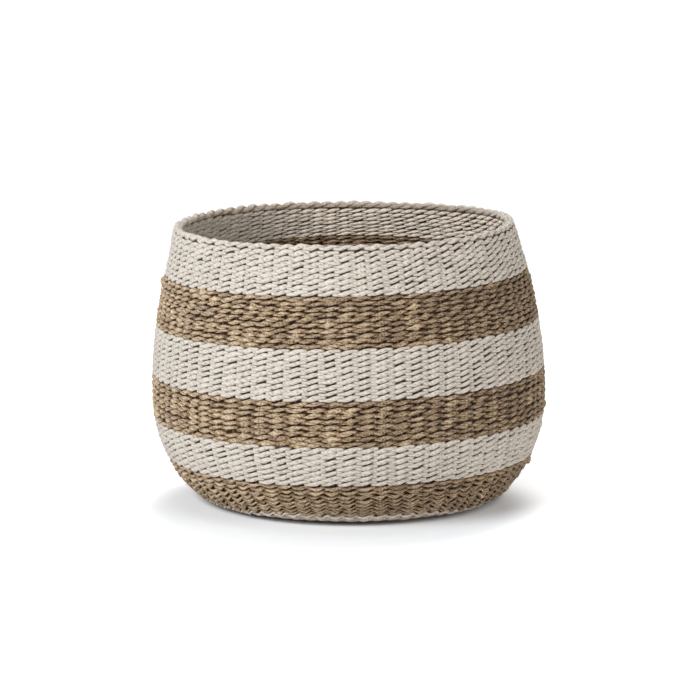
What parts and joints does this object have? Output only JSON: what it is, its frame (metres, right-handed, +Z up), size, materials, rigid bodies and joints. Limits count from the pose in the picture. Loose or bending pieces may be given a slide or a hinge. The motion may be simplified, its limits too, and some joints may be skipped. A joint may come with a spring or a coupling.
{
  "type": "woven basket",
  "caption": "Round bellied open basket, twined cord on upright stakes, in alternating light and natural bands with a corded border.",
  "frame": {"origin": "centre of the base, on the surface that the basket stands on", "axes": "+Z up through the mouth; the shape is round, so X and Y are level and -Y faces the front"},
  "size_m": [0.442, 0.442, 0.3097],
  "materials": {
    "white_cord": "off-white twisted paper-like twine, matt",
    "natural_cord": "natural grass twine, fibrous, from straw to dark taupe",
    "border_cord": "off-white twisted twine, thicker than the wall's",
    "stake": "bare cane, matt"
  },
  "bodies": {
    "root": {"base_sticks_pierced": "stake", "base_sticks_threaded": "stake", "stakes_first": "stake", "stakes_second": "stake", "base_weave": "white_cord", "upsett_weave": "white_cord", "foot_cord_a": "white_cord", "foot_cord_b": "white_cord", "band_1_natural": "natural_cord", "band_2_white": "white_cord", "band_3_natural": "natural_cord", "band_4_white": "white_cord", "band_5_natural": "natural_cord", "band_6_white": "white_cord", "border_cord_a": "border_cord", "border_cord_b": "border_cord"}
  },
  "joints": []
}
